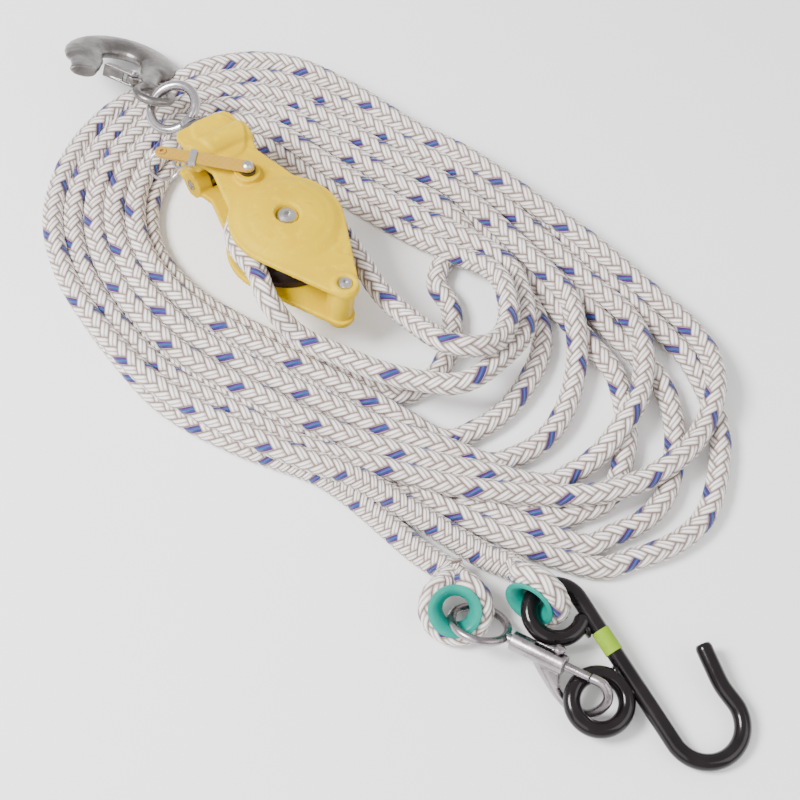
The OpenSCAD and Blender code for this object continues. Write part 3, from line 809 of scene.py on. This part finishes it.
def build_castings(mats):
    """Cast, forged and moulded pieces: their edges eased, and some of them sculpted."""
    pieces = (
        ("front_shell", "front_cheek", "block", "yellow", "yellow_paint", 0.0007, 6, hood),
        ("rear_shell", "rear_cheek", "block", "yellow", "yellow_paint", 0.0007, 6, hood),
        ("forged_hook", "load_hook", "load_hook", "galvanised", "galvanised", 0.0006, 10, broad_bowl),
        ("sheet_latch", "hook_latch", "latch", "galvanised", "galvanised", 0.0003, 3, None),
        ("snap_casting", "snap_body", "snap_body", "snap", "zinc_snap", 0.0004, 8, None),
        ("snap_slider", "snap_bolt", "snap_bolt", "snap", "zinc_snap", 0.0002, 3, None),
        ("thimble_snap_moulding", "thimble_snap", "block", "teal", "teal_plastic", 0.0004, 5, None),
        ("thimble_hook_moulding", "thimble_hook", "block", "teal", "teal_plastic", 0.0004, 5, None),
    )
    for name, node, body, finish, slot, voxel, smooth, sculpt in pieces:
        shown(name, rounded(node, voxel, smooth, sculpt), body, mats[finish], slot, node)


def build_hand_hook(mats):
    loop_r, shank, bend_r = 0.015, 0.109, 0.0205
    arc = [(0.017 + loop_r * math.cos(math.radians(a)), -loop_r + loop_r * math.sin(math.radians(a)), 0)
           for a in range(411, 92, -12)]  # fmt: skip
    curve = [(shank + bend_r * math.cos(math.radians(a)), bend_r + bend_r * math.sin(math.radians(a)), 0)
             for a in range(-90, 91, 10)]  # fmt: skip
    tip = [(shank - 0.012, 2 * bend_r - 0.0006, 0), (shank - 0.024, 2 * bend_r + 0.0012, 0),
           (shank - 0.036, 2 * bend_r + 0.0034, 0)]  # fmt: skip
    straight = [(x, 0, 0) for x in (0.017, 0.04, 0.07, 0.095)]
    path = [np.array(HAND_FRAME @ Vector(p)) for p in arc + straight + curve + tip]
    mesh = swept("bent_rod", path, ROD_R, 32)
    shown("bent_rod", mesh, "hand_hook", mats["rod"], "black_rod", "hand_hook_rod")
    beads = []
    for x, reach, y, w in ((0.032, 0.005, -0.0052, 0.0024), (0.071, 0.011, -0.0060, 0.0026)):
        for height in (-w, 0.0, w):
            beads += [(x + k * reach / 3, y, height, 0.0029 + 0.0004 * ((k * 7 + round(height * 4e3)) % 3 - 1))
                      for k in range(-3, 4)]  # fmt: skip
    shown("weld_beads", blobs("weld_beads", beads), "hand_hook", mats["rod"], "black_rod", "hand_hook_welds")


def build_snap_spring(mats):
    """A coil spring in the snap's barrel."""
    start, length, turns, coil_r, wire_r = 0.0095, 0.0148, 8, 0.0029, 0.0004
    path = []
    for k in range(turns * 16 + 1):
        a = 2 * math.pi * k / 16
        x = start + length * k / (turns * 16)
        path.append(np.array(SNAP_FRAME @ Vector((x, coil_r * math.cos(a), coil_r * math.sin(a)))))
    coil = swept("snap_coil", path, wire_r, 8)
    spring = shown("snap_coil", coil, "snap_body", mats["bolt"], "zinc_snap", "snap_spring")
    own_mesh(spring)


def build_strap(mats):
    webbing = rounded("lanyard_strap", 0.0003, 3)
    shown("strap_webbing", webbing, "strap", mats["webbing"], "webbing", "lanyard_strap")


def dress_cad_nodes(mats):
    """Materials and smooth shading for the CAD nodes that are shown as they are."""
    finishes = {
        "sheave": "sheave", "sheave_bush": "bronze", "axle_bolt": "bolt", "axle_nut": "bolt",
        "tip_bolt": "bolt", "tip_nut": "bolt", "tip_spacer": "yellow_plain", "yoke": "galvanised",
        "head_pin": "bolt", "swivel_eye": "steel", "swivel_nut": "bolt", "release_pin": "bolt",
        "release_ball": "bolt", "pin_ring": "steel", "lanyard_crimp": "bolt", "lanyard_eyelet": "webbing",
        "lanyard_washer": "dark", "lanyard_rivet": "bolt", "latch_pin": "bolt", "latch_spring": "bolt",
        "snap_eye": "snap", "hand_hook_ring": "rod", "hand_hook_band": "band",
    }  # fmt: skip
    for node, finish in finishes.items():
        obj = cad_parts[node]
        obj.data.materials.clear()
        obj.data.materials.append(mats[finish])
        obj.data.polygons.foreach_set("use_smooth", np.ones(len(obj.data.polygons), bool))
        split = obj.modifiers.new("edges", "EDGE_SPLIT")
        split.split_angle = math.radians(32)


# ---- stage ----


def build_stage():
    floor = bpy.data.meshes.new("floor")
    far = 4.0
    corners = [(-far, -far, 0), (far, -far, 0), (far, far, 0), (-far, far, 0)]
    floor.from_pydata(corners, [], [(0, 1, 2, 3)])
    obj = bpy.data.objects.new("floor", floor)
    bpy.context.scene.collection.objects.link(obj)
    m = Nodes("floor_paper", roughness=0.9, specular=0.1)
    paper = m.ramp(m.noise(3.0, 2.0), (0.3, (0.90, 0.90, 0.90)), (0.7, (0.93, 0.93, 0.93)))
    floor.materials.append(m.done(paper))

    world = bpy.data.worlds.new("room")
    world.use_nodes = True
    sky = world.node_tree.nodes["Background"]
    sky.inputs["Color"].default_value = (1.0, 0.99, 0.98, 1.0)
    sky.inputs["Strength"].default_value = 0.95
    bpy.context.scene.world = world

    for name, where, power, size in (
        ("key", (-0.35, -0.75, 1.2), 44.0, 0.5),
        ("fill", (1.1, 0.6, 1.0), 8.0, 1.0),
        ("front", (0.5, -0.9, 0.8), 4.0, 0.8),
    ):
        light = bpy.data.lights.new(name, "AREA")
        light.energy = power
        light.size = size
        lamp = bpy.data.objects.new(name, light)
        lamp.location = where
        lamp.rotation_euler = (-Vector(where)).to_track_quat("-Z", "Y").to_euler()
        bpy.context.scene.collection.objects.link(lamp)


def build_camera():
    azimuth, elevation, distance = math.radians(54), math.radians(62), 0.930
    target = Vector(SHIFT)
    back = Vector((
        math.sin(azimuth) * math.cos(elevation),
        -math.cos(azimuth) * math.cos(elevation),
        math.sin(elevation),
    ))  # fmt: skip
    data = bpy.data.cameras.new("camera")
    data.lens = 69.6
    data.sensor_width = 36
    camera = bpy.data.objects.new("camera", data)
    camera.location = target + back * distance
    camera.rotation_euler = (-back).to_track_quat("-Z", "Y").to_euler()
    bpy.context.scene.collection.objects.link(camera)
    bpy.context.scene.camera = camera


materials = make_materials()
build_rope(materials)
build_castings(materials)
build_hand_hook(materials)
build_snap_spring(materials)
build_strap(materials)
dress_cad_nodes(materials)
build_stage()
build_camera()
